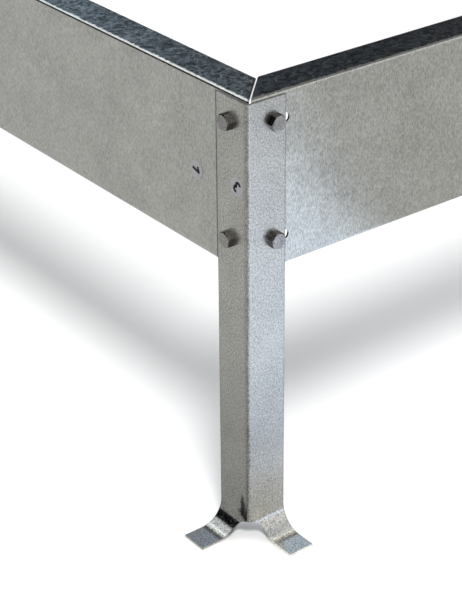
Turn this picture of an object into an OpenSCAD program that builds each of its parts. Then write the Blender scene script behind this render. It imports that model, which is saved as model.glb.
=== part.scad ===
// Raised planter frame of folded galvanised sheet on four bolted angle legs.
// Millimetres. +Z is up. The origin is on the ground, under the middle of the frame.
// Corner 0 is the front left one (-X, -Y); corners 1, 2 and 3 follow counter-clockwise.

/* [Frame] */
// Length of the frame over its legs, along X
frame_length = 1200; // [400:10:2400]
// Width of the frame over its legs, along Y
frame_width = 1000; // [400:10:1200]
// Height of the top rim above the ground
frame_height = 318; // [220:1:800]
// Height of the side panels
panel_height = 118; // [115:1:200]
// Depth of a panel's top flange, from its outer face
top_flange = 26; // [20:1:60]
// Depth of a panel's bottom flange, from its outer face
bottom_flange = 14; // [8:1:20]
// Gap between two mitred flanges
mitre_gap = 0.8; // [0.5:0.1:3]
// How far each mitre lies to one side of its corner's diagonal
mitre_offset = 2.2; // [0:0.1:2.2]

/* [Sheet] */
// Thickness of the steel sheet
sheet = 1.5; // [1:0.1:2]
// Inside radius of the long bends
bend_radius = 1; // [0.5:0.1:1.5]

/* [Legs] */
// Width of each side of an angle leg
leg_side = 30; // [28:1:60]
// Distance from the top rim down to the top of a leg
leg_drop = 2.5; // [2:0.1:10]
// Distance a foot reaches out from its leg
foot_reach = 31; // [20:1:60]
// Radius of the top surface of a foot's bend
foot_radius = 17; // [10:1:20]
// Width of the slot that splits the leg's corner into two feet
slot_width = 21.5; // [12:0.5:24]
// Height of the slot's round end above the ground
slot_height = 14.3; // [13:0.1:20]

/* [Fasteners] */
// Nominal diameter of the bolts
bolt_diameter = 6; // [5:0.5:6]
// Length of a bolt under its head
bolt_length = 12; // [11:1:16]
// Across-flats size of the bolt heads and nuts
across_flats = 10; // [8:0.5:10]
// Height of a bolt head
head_height = 4.8; // [3:0.1:5]
// Height of a nut
nut_height = 5; // [4:0.1:6]
// Outside diameter of a washer
washer_diameter = 12; // [11:0.5:14]
// Thickness of a washer
washer_thickness = 1.6; // [1:0.1:2]
// Diameter of the bolt holes, and width of the slots in the panels
bolt_hole = 7; // [6.5:0.1:8]
// Distance of the bolts from the leg's outer corner, on its right and left sides
bolt_insets = [21.5, 18.2]; // [17:0.1:22]
// Distance of the middle of a panel's slots from the leg's outer corner, on the same sides
slot_insets = [24, 18.5]; // [17:0.5:26]
// Length of the slots in the panels
punched_length = 20; // [10:1:24]
// Distance of the upper bolts below the top rim
upper_bolt_drop = 18; // [14:0.5:40]
// Distance of the lower bolts below the top rim
lower_bolt_drop = 97; // [60:0.5:101]

/* [Number stickers] */
// Diameter of a number sticker
sticker_diameter = 12.8; // [8:0.2:16]
// Thickness of a number sticker
sticker_thickness = 0.2; // [0.1:0.05:0.5]
// Distance of a panel's sticker from the leg's outer corner
panel_sticker_inset = 53.5; // [45:0.5:150]
// Distance of a panel's sticker below the top rim
panel_sticker_drop = 63; // [20:1:90]
// Distance of a leg's sticker from the leg's outer corner
leg_sticker_inset = 10; // [9:0.5:20]
// Distance of a leg's sticker below the top rim
leg_sticker_drop = 59; // [40:1:80]

/* [Hidden] */
$fn = 64;

cut = 1;                                   // how far a cutting shape runs past a surface
outer_bend = bend_radius + sheet;          // outside radius of the long bends
web_setback = sheet + outer_bend;          // distance of a panel's web end from the leg's corner
mitre_shift = mitre_gap / sqrt(2);         // half the mitre gap, measured along the panel
slot_play = 0.4;                           // how far the panels' slots hang below their bolts
foot_bend = foot_radius + sheet;           // underside radius of a foot's bend, and its height
slot_radius = slot_width / 2;
slot_centre = slot_height - slot_radius;
thread_play = 0.1;                         // difference in diameter between a bolt and its nut
washer_play = 0.4;                         // difference in diameter between a bolt and its washer
chamfer = 1;                               // chamfer at a bolt's end
corner_rounding = 0.6;                     // rounding of a hexagon's upper corners, along its axis
corner_turn = 17;                          // how much more the bolts and nuts turn at the next corner
bolt_heights = [frame_height - upper_bolt_drop, frame_height - lower_bolt_drop];
side_lengths = [frame_length, frame_width, frame_length, frame_width];
corners = [for (side = [[-1, -1], [1, -1], [1, 1], [-1, 1]])
    [side[0] * frame_length / 2, side[1] * frame_width / 2, 0]];

// How far each bolt head has been turned when tightened: [upper, lower][right, left], in degrees.
bolt_turns = [[57, 18], [16, 11]];
// How far each nut has been turned, in the same order.
nut_turns = [[12, 40], [33, 21]];

// Moves a shape drawn at the leg's outer corner, with its sides along +X and +Y, to a corner.
module at_corner(index) {
    translate(corners[index]) rotate([0, 0, 90 * index]) children();
}

// A block whose corner at the origin is rounded.
module rounded_block(width, height, radius) {
    intersection() {
        square([width, height]);
        union() {
            translate([radius, radius]) circle(radius);
            translate([radius, 0]) square([width, height]);
            translate([0, radius]) square([width, height]);
        }
    }
}

// Outline of a sheet folded by a right angle, with its outer corner at the origin.
module folded_sheet(width, height, inside_radius) {
    difference() {
        rounded_block(width, height, inside_radius + sheet);
        translate([sheet, sheet]) rounded_block(width, height, inside_radius);
    }
}

// Outline of a panel: x runs inwards from its outer face, y runs up from its lower edge.
module panel_outline() {
    folded_sheet(bottom_flange, panel_height / 2, bend_radius);
    translate([0, panel_height]) mirror([0, 1])
        folded_sheet(top_flange, panel_height / 2 + cut, bend_radius);
}

// Plan of a panel between its two mitred ends, seen from above.
module mitre_plan(length) {
    depth = top_flange + cut;
    start = sheet + mitre_shift + mitre_offset;
    end = length - sheet - mitre_shift + mitre_offset;
    polygon([[start, sheet], [end, sheet],
        [end - depth, sheet + depth], [start + depth, sheet + depth]]);
}

// A slot through a panel's web, drawn around the origin and across the Y axis.
module web_slot() {
    half = (punched_length - bolt_hole) / 2;
    for (x = [-half, half])
        translate([x, 0, 0]) rotate([-90, 0, 0]) cylinder(d = bolt_hole, h = 3 * sheet);
    translate([-half, 0, -bolt_hole / 2]) cube([2 * half, 3 * sheet, bolt_hole]);
}

// A panel that runs from one leg to the next. Its web and bottom flange stop short of the
// legs' folds, and only its top flange reaches into the mitres.
module panel(index) {
    length = side_lengths[index];
    base = frame_height - panel_height;
    slot_places = [slot_insets[0], length - slot_insets[1]];
    at_corner(index) difference() {
        intersection() {
            translate([0, sheet, base]) rotate([90, 0, 90]) linear_extrude(length) panel_outline();
            translate([0, 0, base]) linear_extrude(panel_height) mitre_plan(length);
        }
        for (end = [0, length])
            translate([end - web_setback, 0, base - cut])
                cube([2 * web_setback, sheet + outer_bend, panel_height + cut - outer_bend]);
        for (place = slot_places, height = bolt_heights)
            translate([place, 0, height - slot_play]) web_slot();
    }
}

// One foot of a leg, bent out of the side that stands on the Y axis.
module foot() {
    translate([sheet, leg_side, 0]) rotate([90, 0, 0]) mirror([1, 0])
        linear_extrude(leg_side - outer_bend)
            folded_sheet(foot_reach + sheet, foot_bend + cut, foot_radius);
}

// The stretch of the fold that stays upright between the two feet, down to the slot.
module upright_fold() {
    translate([0, 0, slot_centre])
        linear_extrude(foot_bend + cut - slot_centre)
            folded_sheet(2 * outer_bend, 2 * outer_bend, bend_radius);
}

// What the slot takes away from the side that stands on the Y axis.
module slot_side() {
    depth = foot_reach + cut + outer_bend;
    translate([-foot_reach - cut, 0, slot_centre])
        rotate([0, 90, 0]) cylinder(r = slot_radius, h = depth);
    translate([-foot_reach - cut, -cut, -cut])
        cube([depth, slot_radius + cut, slot_centre + cut]);
}

// The same shape on both sides of a leg: on the Y axis, and mirrored onto the X axis.
module both_sides() {
    children();
    mirror([1, -1, 0]) children();
}

// Puts a shape drawn on the Z axis, pointing inwards, at a corner's four bolts.
module at_bolts(depth, turns, more_turn = 0) {
    for (row = [0, 1]) {
        translate([bolt_insets[0], depth, bolt_heights[row]])
            rotate([-90, 0, 0]) rotate([0, 0, turns[row][0] + more_turn]) children();
        translate([depth, bolt_insets[1], bolt_heights[row]])
            rotate([0, 90, 0]) rotate([0, 0, turns[row][1] + more_turn]) children();
    }
}

// An angle leg: a folded corner, split at its lower end into two feet that turn outwards.
module leg(index) {
    at_corner(index) difference() {
        union() {
            translate([0, 0, foot_bend]) linear_extrude(frame_height - leg_drop - foot_bend)
                folded_sheet(leg_side, leg_side, bend_radius);
            upright_fold();
            both_sides() foot();
        }
        both_sides() slot_side();
        at_bolts(-sheet, bolt_turns) cylinder(d = bolt_hole, h = 3 * sheet);
    }
}

// A hexagon with its upper corners rounded off, standing on the XY plane.
module hexagon(height) {
    corner_radius = across_flats / sqrt(3);
    intersection() {
        cylinder(r = corner_radius, h = height, $fn = 6);
        union() {
            cylinder(r = corner_radius, h = height - corner_rounding);
            translate([0, 0, height - corner_rounding])
                cylinder(r1 = corner_radius, r2 = 0.48 * across_flats, h = corner_rounding);
        }
    }
}

module bolts(index) {
    at_corner(index) at_bolts(0, bolt_turns, corner_turn * index) {
        mirror([0, 0, 1]) hexagon(head_height);
        cylinder(d = bolt_diameter, h = bolt_length - chamfer);
        translate([0, 0, bolt_length - chamfer])
            cylinder(d1 = bolt_diameter, d2 = bolt_diameter - 2 * chamfer, h = chamfer);
    }
}

module washers(index) {
    at_corner(index) at_bolts(2 * sheet, nut_turns) difference() {
        cylinder(d = washer_diameter, h = washer_thickness);
        translate([0, 0, -cut])
            cylinder(d = bolt_diameter + washer_play, h = washer_thickness + 2 * cut);
    }
}

module nuts(index) {
    at_corner(index) at_bolts(2 * sheet + washer_thickness, nut_turns, corner_turn * index) difference() {
        hexagon(nut_height);
        translate([0, 0, -cut]) cylinder(d = bolt_diameter + thread_play, h = nut_height + 2 * cut);
    }
}

// A round sticker on a face that stands across the Y axis, its outer side towards -Y.
module sticker() {
    rotate([90, 0, 0]) cylinder(d = sticker_diameter, h = sticker_thickness);
}

// Each panel is numbered near its right-hand end, seen from outside.
module panel_sticker(index) {
    at_corner(index)
        translate([side_lengths[index] - panel_sticker_inset, sheet, frame_height - panel_sticker_drop])
            sticker();
}

// Each leg is numbered on its left-hand side, seen from outside.
module leg_sticker(index) {
    at_corner(index)
        translate([0, leg_sticker_inset, frame_height - leg_sticker_drop])
            rotate([0, 0, -90]) sticker();
}

// The finishes of the parts.
module panel_zinc() { color([0.64, 0.66, 0.65]) children(); }
module leg_zinc() { color([0.74, 0.77, 0.80]) children(); }
module fastener_zinc() { color([0.55, 0.56, 0.55]) children(); }
module sticker_paper() { color([0.85, 0.85, 0.82]) children(); }

panel_zinc() panel(0);  // front_panel
panel_zinc() panel(1);  // right_panel
panel_zinc() panel(2);  // rear_panel
panel_zinc() panel(3);  // left_panel
leg_zinc() leg(0);  // front_left_leg
leg_zinc() leg(1);  // front_right_leg
leg_zinc() leg(2);  // rear_right_leg
leg_zinc() leg(3);  // rear_left_leg
fastener_zinc() bolts(0);  // front_left_bolts
fastener_zinc() bolts(1);  // front_right_bolts
fastener_zinc() bolts(2);  // rear_right_bolts
fastener_zinc() bolts(3);  // rear_left_bolts
fastener_zinc() washers(0);  // front_left_washers
fastener_zinc() washers(1);  // front_right_washers
fastener_zinc() washers(2);  // rear_right_washers
fastener_zinc() washers(3);  // rear_left_washers
fastener_zinc() nuts(0);  // front_left_nuts
fastener_zinc() nuts(1);  // front_right_nuts
fastener_zinc() nuts(2);  // rear_right_nuts
fastener_zinc() nuts(3);  // rear_left_nuts
sticker_paper() panel_sticker(0);  // front_panel_sticker
sticker_paper() panel_sticker(1);  // right_panel_sticker
sticker_paper() panel_sticker(2);  // rear_panel_sticker
sticker_paper() panel_sticker(3);  // left_panel_sticker
sticker_paper() leg_sticker(0);  // front_left_leg_sticker
sticker_paper() leg_sticker(1);  // front_right_leg_sticker
sticker_paper() leg_sticker(2);  // rear_right_leg_sticker
sticker_paper() leg_sticker(3);  // rear_left_leg_sticker
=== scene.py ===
"""Looks for the raised planter frame: galvanised steel, number stickers, floor, light and camera."""
import math

import bmesh
import bpy
from mathutils import Matrix, Quaternion, Vector


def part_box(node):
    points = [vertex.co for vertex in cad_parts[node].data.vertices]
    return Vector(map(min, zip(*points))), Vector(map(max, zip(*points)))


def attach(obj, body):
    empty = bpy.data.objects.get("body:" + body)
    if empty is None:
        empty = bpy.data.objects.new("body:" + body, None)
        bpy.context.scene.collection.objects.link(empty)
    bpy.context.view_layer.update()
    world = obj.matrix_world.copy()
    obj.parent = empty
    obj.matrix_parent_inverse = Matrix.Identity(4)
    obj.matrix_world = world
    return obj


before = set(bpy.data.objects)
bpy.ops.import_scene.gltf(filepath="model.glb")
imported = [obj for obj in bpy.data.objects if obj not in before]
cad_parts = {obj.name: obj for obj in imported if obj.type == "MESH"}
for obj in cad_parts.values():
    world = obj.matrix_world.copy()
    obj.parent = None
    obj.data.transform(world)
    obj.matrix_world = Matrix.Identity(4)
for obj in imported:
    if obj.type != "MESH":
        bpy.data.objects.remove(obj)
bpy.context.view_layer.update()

# Metres. The frame's length and width go out to the legs' faces, one sheet outside the panels.
MM = 0.001
SHEET = 1.5 * MM
HALF_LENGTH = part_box("right_panel")[1].x + SHEET
HALF_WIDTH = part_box("rear_panel")[1].y + SHEET
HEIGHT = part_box("front_panel")[1].z
LEG_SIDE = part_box("front_left_leg")[1].x + HALF_LENGTH
LEG_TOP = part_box("front_left_leg")[1].z
CORNER = Vector((-HALF_LENGTH, -HALF_WIDTH, HEIGHT))    # the corner of the rim that the camera looks at
UP = Vector((0, 0, 1))
WHITE = (1, 1, 1, 1)


# ---------------------------------------------------------------- node trees

class Graph:
    """A node tree that is built by naming each node and what feeds its inputs."""

    def __init__(self, tree):
        self.tree = tree

    def node(self, kind, inputs=None, **settings):
        """Adds a node. Each input is given a socket, which is linked to it, or a constant."""
        node = self.tree.nodes.new(kind)
        for name, value in settings.items():
            setattr(node, name, value)
        for name, value in (inputs or {}).items():
            self.feed(node.inputs[name], value)
        return node

    def feed(self, socket, value):
        """Links a socket to an input, or holds the input at a constant."""
        if isinstance(value, bpy.types.NodeSocket):
            self.tree.links.new(value, socket)
        else:
            socket.default_value = value

    def maths(self, operation, *values):
        return self.node("ShaderNodeMath", dict(enumerate(values)), operation=operation).outputs[0]

    def product(self, first, *others):
        for other in others:
            first = self.maths("MULTIPLY", first, other)
        return first

    def vector(self, operation, *values):
        node = self.node("ShaderNodeVectorMath", dict(enumerate(values)), operation=operation)
        return node.outputs["Value" if operation in ("DOT_PRODUCT", "LENGTH") else "Vector"]

    def spread(self, value, low, high, to_low=0.0, to_high=1.0):
        """Turns low..high smoothly into to_low..to_high, and holds it at the ends."""
        ends = {"Value": value, "From Min": low, "From Max": high, "To Min": to_low, "To Max": to_high}
        return self.node("ShaderNodeMapRange", ends, interpolation_type="SMOOTHSTEP").outputs["Result"]

    def noise(self, place, scale, detail=2.0, distortion=0.0):
        settings = {"Vector": place, "Scale": scale, "Detail": detail, "Distortion": distortion}
        return self.node("ShaderNodeTexNoise", settings).outputs["Fac"]

    def mix(self, factor, a, b):
        node = self.node("ShaderNodeMix", data_type="RGBA")
        for socket, value in ((0, factor), (6, a), (7, b)):
            self.feed(node.inputs[socket], value)
        return node.outputs[2]

    def swing(self, base, *parts):
        """base plus, for each (pattern, amount), the pattern's swing about its middle times the amount."""
        for pattern, amount in parts:
            base = self.maths("MULTIPLY_ADD", self.maths("SUBTRACT", pattern, 0.5), amount, base)
        return base

    def scaled(self, colour, factor):
        settings = {0: colour, "Scale": factor}
        return self.node("ShaderNodeVectorMath", settings, operation="SCALE").outputs[0]

    def object_place(self):
        """The place in the shared frame, because every CAD node and piece has its origin there."""
        return self.node("ShaderNodeTexCoord").outputs["Object"]


class ZincGraph(Graph):
    """A tree that starts from the place in the shared frame, and its height above the ground."""

    def __init__(self, tree):
        super().__init__(tree)
        self.place = self.object_place()
        self.x, self.y, self.height = self.node("ShaderNodeSeparateXYZ", {"Vector": self.place}).outputs

    def inside_legs(self):
        """How far the place lies inside the legs' outer faces: across from the left or right ones, and
        along from the front or rear ones."""
        across = self.maths("SUBTRACT", HALF_LENGTH, self.maths("ABSOLUTE", self.x))
        along = self.maths("SUBTRACT", HALF_WIDTH, self.maths("ABSOLUTE", self.y))
        return across, along


def new_material(name, kind=Graph):
    """A material with one Principled shader, the graph that builds on it, and that shader."""
    material = bpy.data.materials.new(name)
    material.use_nodes = True
    return material, kind(material.node_tree), material.node_tree.nodes["Principled BSDF"]


# ---------------------------------------------------------------- zinc

# Waves or cells per metre of the patterns in the zinc
CLOUDS = 24.0
PATCHES = 90.0
SPANGLE = 420.0
SPECKS = 560.0

SPECK_RANGE = (0.68, 0.78)       # the noise at which a speck starts and is full
SPECK_DARKNESS = 0.32
SPANGLE_TONE = 0.06              # how much the spangle sways the brightness, off the top flanges
SPANGLE_GLOSS = 0.05             # how much the spangle sways the roughness
CLOUD_GLOSS = 0.16               # how much the clouds sway the roughness
SPANGLE_RELIEF = 0.5             # the spangle's height, as a part of the grain's
FLECK_RELIEF = 1.7               # how much deeper the relief of a top flange is, for each unit of flecks
LEVEL = (0.80, 0.98)             # the cosines of the tilt at which a face begins and fully counts as level
RIM_DEPTH = 40 * MM              # how far down from the rim a level face still counts as a top flange

# Marks and painted light. Each is where it starts and ends, and what the brightness is multiplied by at
# either end.
FOLD_SHADE = (0.8 * MM, 5.0 * MM, 0.74, 1.0)                                # from a leg's fold; painted shade along the fold
FREE_EDGE_SHADOW_AND_DIRT = (LEG_SIDE - 1.0 * MM, LEG_SIDE - 0.2 * MM, 1.0, 0.70)     # the same; painted shadow and dirt along a leg's free edge
FOOT_HIGHLIGHT = (2.2 * MM, 3.4 * MM, 2.3, 1.0)                             # above the ground; a painted highlight on the tops of the feet
LOW_DARKENING = (10 * MM, 200 * MM, 0.68, 1.0)                                 # the same; darker towards the ground
DARK_SPOT = (0.55, 1.0, 0.07, 1.0)                                          # from its middle, in its own size
EDGE_SHADOW_AND_DIRT = (0.9 * MM, 1.8 * MM, 0.25, 1.0)                                # beyond a leg's free edge; painted contact shadow and dirt
HEAD_SIDE_SHADE = (4.2 * MM, 4.7 * MM, 0.48, 1.0)                            # outwards from a leg's face; painted shade on a bolt's sides and shank
LOW_FRONT_HIGHLIGHT = (30 * MM, 75 * MM, 0.8, 0.0)        # above the ground. What it adds to the brightness: a painted highlight low on a front or rear face of a leg.
BURNISH = (15 * MM, 35 * MM, 0.5, 1.0)      # above the ground. What multiplies the roughness.

FOLD_SQUEEZE = 2.2               # how much narrower the painted fold shade is on a front or rear face
DARK_SPOT_PLACE = (0.0, 6.3 * MM, 25 * MM)            # across, along, and above the ground
DARK_SPOT_SIZE = (1.0 * MM, 3.0 * MM, 9 * MM)         # half its extent in each of these
DARK_SPOT_NOISE = 500.0
DARK_SPOT_RAGGEDNESS = 1.6
SIDE_EDGE_LINE_SHIFT = 1.5 * MM       # how much farther out the painted shadow and dirt lie on a side panel
RIM_SHADE = 0.42                  # painted shade: the brightness of the front and rear top flanges
SIDE_RIM_EXTRA = 0.60            # what a side panel's adds to that, so its top flange is painted lighter
RIM_SHEET = 1 * MM               # how far down from the rim that painted shade reaches


def level_rim(graph):
    """1 on the level top flanges, and 0 elsewhere."""
    normal = graph.node("ShaderNodeNewGeometry").outputs["Normal"]
    upward = graph.node("ShaderNodeSeparateXYZ", {"Vector": normal}).outputs["Z"]
    high = graph.maths("GREATER_THAN", graph.height, HEIGHT - RIM_DEPTH)
    return graph.product(graph.spread(graph.maths("ABSOLUTE", upward), *LEVEL), high)


def zinc(name, tone, gloss, grain, depth, mottle, relief, flecks, marks_and_shade=None):
    """Galvanised sheet: fine grain drawn out by rolling, soft clouds, small spangle and dark specks.
    A top flange mirrors the far walls at a low angle; its spangle and patches are painted stronger there, by
    flecks, as a painted reflection.
    Near the ground the zinc is glossier."""
    material, graph, shader = new_material(name, ZincGraph)
    place = graph.place
    level = level_rim(graph)
    fine = graph.noise(graph.vector("MULTIPLY", place, grain), 1.0, 3.0)
    cloud = graph.noise(place, CLOUDS, 4.0, 0.8)
    patch = graph.noise(place, PATCHES, 3.0, 1.5)
    cell = graph.node("ShaderNodeTexVoronoi", {"Vector": place, "Scale": SPANGLE}).outputs["Color"]
    spangle = graph.node("ShaderNodeSeparateColor", {"Color": cell}).outputs["Red"]
    speck = graph.spread(graph.noise(place, SPECKS, 1.0), *SPECK_RANGE)
    # On the top flanges the patches and spangle sway the brightness more: painted reflection
    patches_and_reflection = graph.spread(level, 0.0, 1.0, mottle * 0.5, mottle * (1 + flecks))
    spangle_and_reflection = graph.spread(level, 0.0, 1.0, SPANGLE_TONE, flecks)
    value = graph.swing(1.0, (fine, depth), (cloud, mottle), (patch, patches_and_reflection), (spangle, spangle_and_reflection))
    value = graph.maths("MULTIPLY_ADD", speck, -SPECK_DARKNESS, value)
    if marks_and_shade:
        value = graph.product(value, marks_and_shade(graph))
    rough = graph.swing(gloss, (cloud, CLOUD_GLOSS), (spangle, SPANGLE_GLOSS))
    height = graph.maths("MULTIPLY_ADD", spangle, SPANGLE_RELIEF, fine)
    distance = graph.spread(level, 0.0, 1.0, relief, relief * (1 + FLECK_RELIEF * flecks))
    bump = graph.node("ShaderNodeBump", {"Strength": 1.0, "Distance": distance, "Height": height})
    graph.feed(shader.inputs["Base Color"], graph.scaled(tone, value))
    graph.feed(shader.inputs["Metallic"], 1.0)
    graph.feed(shader.inputs["Roughness"], graph.product(rough, graph.spread(graph.height, *BURNISH)))
    graph.feed(shader.inputs["Normal"], bump.outputs["Normal"])
    return material


def dark_spot(graph, across, along):
    """A dark ragged spot on the side face of each leg, just above the foot."""
    place = (across, along, graph.height)
    offsets = [graph.maths("SUBTRACT", part, middle) for part, middle in zip(place, DARK_SPOT_PLACE)]
    parts = [graph.maths("DIVIDE", offset, size) for offset, size in zip(offsets, DARK_SPOT_SIZE)]
    away = graph.node("ShaderNodeCombineXYZ", dict(zip("XYZ", parts))).outputs[0]
    noise = graph.noise(graph.place, DARK_SPOT_NOISE, 3.0)
    return graph.spread(graph.swing(graph.vector("LENGTH", away), (noise, DARK_SPOT_RAGGEDNESS)), *DARK_SPOT)


def leg_marks_and_shade(graph):
    """A leg has painted shade along its fold and painted shadow and dirt along its free edges, and is darker
    towards the ground. The tops of its feet carry a painted highlight, and so does the lowest stretch of its
    front or rear face, which is brighter than the rest."""
    across, along = graph.inside_legs()
    near_fold = graph.maths("MAXIMUM", graph.maths("MULTIPLY", across, FOLD_SQUEEZE), along)
    from_fold = graph.maths("MAXIMUM", across, along)
    front_or_rear = graph.maths("GREATER_THAN", across, along)
    low_front_highlight = graph.maths("MULTIPLY_ADD", front_or_rear, graph.spread(graph.height, *LOW_FRONT_HIGHLIGHT), 1.0)
    return graph.product(graph.spread(near_fold, *FOLD_SHADE), graph.spread(from_fold, *FREE_EDGE_SHADOW_AND_DIRT),
                         dark_spot(graph, across, along), low_front_highlight,
                         graph.spread(graph.height, *FOOT_HIGHLIGHT), graph.spread(graph.height, *LOW_DARKENING))


def panel_marks_and_shade(graph):
    """A dark line of painted contact shadow and dirt on the panel along the edge of a leg, and painted shade
    on the top flanges, which are painted lighter on the side panels than on the front and rear ones."""
    across, along = graph.inside_legs()
    side = graph.maths("GREATER_THAN", along, across)
    from_edge = graph.maths("SUBTRACT", graph.maths("MAXIMUM", across, along), LEG_SIDE)
    # Painted contact shadow and dirt on the panel beside a leg's edge
    edge_shadow_and_dirt = graph.spread(graph.maths("MULTIPLY_ADD", side, -SIDE_EDGE_LINE_SHIFT, from_edge), *EDGE_SHADOW_AND_DIRT)
    below = graph.maths("LESS_THAN", graph.height, LEG_TOP)
    # Painted shade on the top flanges: darker on the front and rear panels, lighter on the side ones
    rim = graph.maths("MULTIPLY_ADD", side, SIDE_RIM_EXTRA, RIM_SHADE)
    on_rim = graph.maths("GREATER_THAN", graph.height, HEIGHT - RIM_SHEET)
    return graph.mix(on_rim, graph.mix(below, WHITE, edge_shadow_and_dirt), rim)


def bolt_shade(graph):
    """The end face of each head is bright, and the rest of the bolt is painted darker, as painted shade."""
    across, along = graph.inside_legs()
    outward = graph.maths("MULTIPLY", graph.maths("MINIMUM", across, along), -1.0)
    return graph.spread(outward, *HEAD_SIDE_SHADE)


# ---------------------------------------------------------------- the materials of all the nodes

def paper(name, tone):
    """Sticker film or ink: a faint mottle, and a matt surface."""
    material, graph, shader = new_material(name)
    place = graph.object_place()
    mottle = graph.noise(place, 500.0, 3.0)
    fibres = graph.noise(place, 2500.0)
    worn = graph.noise(place, 900.0)
    value = graph.swing(1.0, (mottle, 0.25), (fibres, 0.15))
    graph.feed(shader.inputs["Base Color"], graph.scaled(tone, value))
    graph.feed(shader.inputs["Roughness"], graph.swing(0.6, (worn, 0.2)))
    graph.feed(shader.inputs["Specular IOR Level"], 0.2)
    return material


def dress_frame():
    """Gives every CAD node its material."""
    fastener = zinc("fastener_zinc", tone=(0.19, 0.185, 0.178), gloss=0.26, grain=(900, 900, 900),
                    depth=0.75, mottle=0.5, relief=0.05 * MM, flecks=0.1)
    looks = {
        "panel": zinc("panel_zinc", tone=(0.272, 0.272, 0.250), gloss=0.14, grain=(1100, 1100, 500),
                      depth=1.25, mottle=0.42, relief=0.07 * MM, flecks=1.6, marks_and_shade=panel_marks_and_shade),
        "leg": zinc("leg_zinc", tone=(0.27, 0.267, 0.246), gloss=0.33, grain=(900, 900, 760),
                    depth=2.0, mottle=0.48, relief=0.05 * MM, flecks=0.25, marks_and_shade=leg_marks_and_shade),
        "bolts": zinc("bolt_zinc", tone=(0.188, 0.180, 0.170), gloss=0.24, grain=(1300, 1300, 1300),
                      depth=2.2, mottle=1.4, relief=0.05 * MM, flecks=0.1, marks_and_shade=bolt_shade),
        "nuts": fastener,
        "washers": fastener,
        "sticker": paper("sticker_film", tone=(0.350, 0.347, 0.354)),
    }
    for name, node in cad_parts.items():
        node.data.materials.clear()
        node.data.materials.append(looks[name.rsplit("_", 1)[1]])


# ---------------------------------------------------------------- digits on the stickers

DIGIT_HEIGHT = 6.6 * MM
STROKE = 2.0 * MM
INK = 0.04 * MM
INK_STEP = 0.25      # how much prouder a digit's second stroke is, so that the two don't share a face
LEG_TURN = 220       # how far a leg's digit is turned from upright, in degrees
PANEL_TURN = 108     # the same for a panel's digit


def arc(x, y, radius, start, end, steps=14):
    """Points on an arc from one angle to another, in degrees."""
    angles = [math.radians(start + (end - start) * i / steps) for i in range(steps + 1)]
    return [(x + radius * math.cos(a), y + radius * math.sin(a)) for a in angles]


# Each digit's strokes, one unit high and centred on x = 0.
DIGITS = {
    1: [[(-0.42, 0.62), (0.05, 1.0)], [(0.05, 1.08), (0.05, -0.05)]],
    2: [arc(0, 0.71, 0.27, 165, -38) + [(-0.28, 0.02)], [(-0.34, 0.0), (0.32, 0.0)]],
    3: [arc(-0.02, 0.74, 0.25, 150, -90) + arc(-0.02, 0.23, 0.27, 90, -150)],
}


def add_stroke(mesh, points, width, low, high):
    """Adds one closed flat bar that follows the points, from depth low to depth high."""
    rows = []
    for i, point in enumerate(points):
        before = Vector(points[max(i - 1, 0)])
        after = Vector(points[min(i + 1, len(points) - 1)])
        side = (after - before).normalized().orthogonal() * width / 2
        edges = (Vector(point) + side, Vector(point) - side)
        rows.append([mesh.verts.new((e.x, e.y, z)) for z in (low, high) for e in edges])
    for a, b in zip(rows, rows[1:]):
        for i, j in ((0, 1), (1, 3), (3, 2), (2, 0)):
            mesh.faces.new((a[i], a[j], b[j], b[i]))
    for end in (rows[0], rows[-1]):
        mesh.faces.new((end[0], end[1], end[3], end[2]))


def facing(node):
    """The middle of a sticker's outer face, and the way that it faces."""
    low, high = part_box(node)
    middle = (low + high) / 2
    if high.x - low.x < MM:
        out = Vector((math.copysign(1, middle.x), 0, 0))
    else:
        out = Vector((0, math.copysign(1, middle.y), 0))
    return middle + out * (high - low).dot(Vector(map(abs, out))) / 2, out


def add_digit(number, node, turn, ink):
    """Prints a number on a sticker, turned clockwise as seen from outside."""
    face, out = facing(node)
    mesh = bmesh.new()
    for order, points in enumerate(DIGITS[number]):
        scaled = [(x * DIGIT_HEIGHT, (y - 0.5) * DIGIT_HEIGHT) for x, y in points]
        add_stroke(mesh, scaled, STROKE, -INK, INK * (1 + INK_STEP * order))
    bmesh.ops.recalc_face_normals(mesh, faces=mesh.faces)
    upright = Matrix((UP.cross(out), UP, out)).transposed()
    turned = upright @ Matrix.Rotation(-math.radians(turn), 3, "Z")
    mesh.transform(Matrix.Translation(face) @ turned.to_4x4())
    data = bpy.data.meshes.new(node + "_digit")
    mesh.to_mesh(data)
    mesh.free()
    data.materials.append(ink)
    digit = bpy.data.objects.new(node + "_digit", data)
    bpy.context.scene.collection.objects.link(digit)
    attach(digit, "root")


def print_digits():
    """1 on the left and right panels, 2 on the front and rear ones, and 3 on every leg."""
    ink = paper("sticker_ink", tone=(0.004, 0.004, 0.004))
    for node in sorted(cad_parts):
        if node.endswith("_leg_sticker"):
            add_digit(3, node, LEG_TURN, ink)
        elif node.endswith("_sticker"):
            add_digit(1 if node.startswith(("left", "right")) else 2, node, PANEL_TURN, ink)


# ---------------------------------------------------------------- floor, light and camera

FLOOR_REACH = 9.0
FLOOR_COLOUR = (0.84, 0.84, 0.835, 1)


def make_floor():
    """A wide pale floor that the feet stand on."""
    signs = ((-1, -1), (1, -1), (1, 1), (-1, 1))
    mesh = bpy.data.meshes.new("floor")
    mesh.from_pydata([(x * FLOOR_REACH, y * FLOOR_REACH, 0) for x, y in signs], [], [(0, 1, 2, 3)])
    material, graph, shader = new_material("floor")
    graph.feed(shader.inputs["Base Color"], FLOOR_COLOUR)
    graph.feed(shader.inputs["Roughness"], 0.9)
    graph.feed(shader.inputs["Specular IOR Level"], 0.1)
    mesh.materials.append(material)
    floor = bpy.data.objects.new("floor", mesh)
    bpy.context.scene.collection.objects.link(floor)


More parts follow.
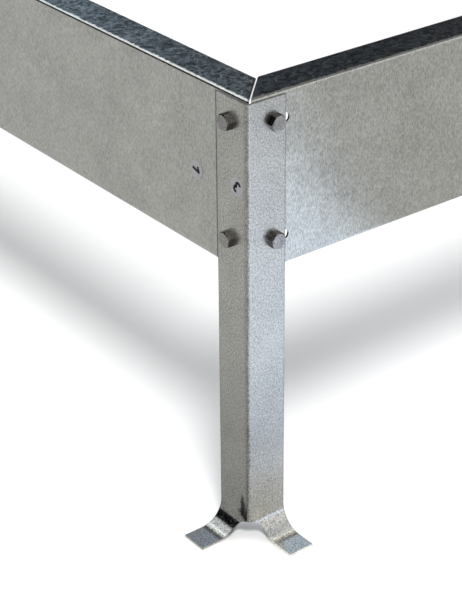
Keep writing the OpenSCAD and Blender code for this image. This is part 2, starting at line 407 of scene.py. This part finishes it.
CEILING = (0.80, 0.75, 0.69, 1)
CEILING_EDGE = (0.68, 0.84)      # how high a way points, as a sine, where the ceiling starts and is full
WALL_DARK = (0.012, 0.014, 0.018, 1)
# Softly edged windows of the studio: the way to each, the cosines at its outer and inner edge, its light.
STUDIO = (
    # Low behind the frame
    ((0.20, 0.93, 0.32), 0.90, 0.97, (0.50, 0.66, 0.84, 1)),
    # Small, behind and to the right, higher up
    ((0.49, 0.64, 0.61), 0.985, 0.997, (0.50, 0.58, 0.70, 1)),
    # Low and dim on the right
    ((0.85, 0.45, 0.30), 0.93, 0.98, (0.19, 0.20, 0.22, 1)),
    # Low in front, to the right
    ((0.58, -0.76, 0.30), 0.86, 0.94, (1.7, 1.7, 1.75, 1)),
    # The brightest, high behind
    ((-0.20, 0.70, 0.68), 0.91, 0.96, (2.7, 2.85, 3.05, 1)),
    # High on the right
    ((0.60, -0.25, 0.75), 0.85, 0.95, (1.3, 1.35, 1.4, 1)),
)


def make_world():
    """A bright soft ceiling over dark walls with soft windows. Past the floor, the camera sees white."""
    world = bpy.data.worlds.new("studio")
    world.use_nodes = True
    world.node_tree.nodes.clear()
    graph = Graph(world.node_tree)
    way = graph.node("ShaderNodeTexCoord").outputs["Generated"]
    height = graph.node("ShaderNodeSeparateXYZ", {"Vector": way}).outputs["Z"]
    colour = graph.mix(graph.spread(height, *CEILING_EDGE), WALL_DARK, CEILING)
    for towards, outer, inner, light in STUDIO:
        near = graph.vector("DOT_PRODUCT", way, Vector(towards).normalized())
        colour = graph.mix(graph.spread(near, outer, inner), colour, light)
    studio = graph.node("ShaderNodeBackground", {"Color": colour, "Strength": 1.0})
    white = graph.node("ShaderNodeBackground", {"Color": WHITE, "Strength": 1.0})
    seen = graph.node("ShaderNodeLightPath").outputs["Is Camera Ray"]
    both = graph.node("ShaderNodeMixShader", {0: seen, 1: studio.outputs[0], 2: white.outputs[0]})
    graph.node("ShaderNodeOutputWorld", {"Surface": both.outputs[0]})
    bpy.context.scene.world = world


KEY_WAY = (0.375, 0.62, -1.0)
KEY_LIGHT = 2.38
KEY_WIDTH = 13                   # degrees across, which sets how soft the shadows are
CARD_OFFSET = (0.170, -0.451)    # of its middle from the corner, to the right and to the rear
CARD_SIZE = (0.46, 0.795)
CARD_TURN = -19.8                # degrees
CARD_LIGHT = 1.75
CARD_COLOUR = (0.61, 0.74, 1.0)


def add_lamp(name, kind, place, way, energy, colour=(1, 1, 1), turn=0.0, **settings):
    """Adds a lamp that shines along way, turned about it. The camera doesn't see the lamp itself."""
    data = bpy.data.lights.new(name, kind)
    data.energy = energy
    data.color = colour
    for key, value in settings.items():
        setattr(data, key, value)
    lamp = bpy.data.objects.new(name, data)
    lamp.location = place
    lamp.rotation_mode = "QUATERNION"
    lamp.rotation_quaternion = Vector(way).to_track_quat("-Z", "Y") @ Quaternion(UP, turn)
    lamp.visible_camera = False
    bpy.context.scene.collection.objects.link(lamp)


def make_lamps():
    """A soft key from the front left, and a glowing card on the floor that the front faces mirror."""
    add_lamp("key", "SUN", (0, 0, 2), KEY_WAY, KEY_LIGHT, angle=math.radians(KEY_WIDTH))
    width, length = CARD_SIZE
    place = Vector((CORNER.x + CARD_OFFSET[0], CORNER.y + CARD_OFFSET[1], MM))
    add_lamp("card", "AREA", place, UP, CARD_LIGHT * math.pi * width * length, CARD_COLOUR,
             turn=math.radians(CARD_TURN), shape="RECTANGLE", size=width, size_y=length)


CAMERA_OFFSET = Vector((-0.61156, -0.78407, 0.41299))    # from the corner
CAMERA_ANGLES = (37.359, 28.771, -0.5477)                # yaw from +Y to +X, pitch down and roll, in degrees
CAMERA_LENS = 108.92                                     # millimetres
CAMERA_SENSOR = 36.0                                     # the same
CAMERA_RANGE = (0.05, 50.0)


def make_camera():
    """The camera stands off the front left corner and looks down at it."""
    yaw, pitch, roll = map(math.radians, CAMERA_ANGLES)
    level = math.cos(pitch)
    forward = Vector((math.sin(yaw) * level, math.cos(yaw) * level, -math.sin(pitch)))
    data = bpy.data.cameras.new("camera")
    data.lens = CAMERA_LENS
    data.sensor_width = CAMERA_SENSOR
    data.clip_start, data.clip_end = CAMERA_RANGE
    camera = bpy.data.objects.new("camera", data)
    camera.location = CORNER + CAMERA_OFFSET
    camera.rotation_mode = "QUATERNION"
    camera.rotation_quaternion = forward.to_track_quat("-Z", "Y") @ Quaternion(UP, roll)
    bpy.context.scene.collection.objects.link(camera)
    bpy.context.scene.camera = camera


make_camera()
dress_frame()
print_digits()
make_floor()
make_world()
make_lamps()
bpy.context.scene.view_settings.view_transform = "Standard"
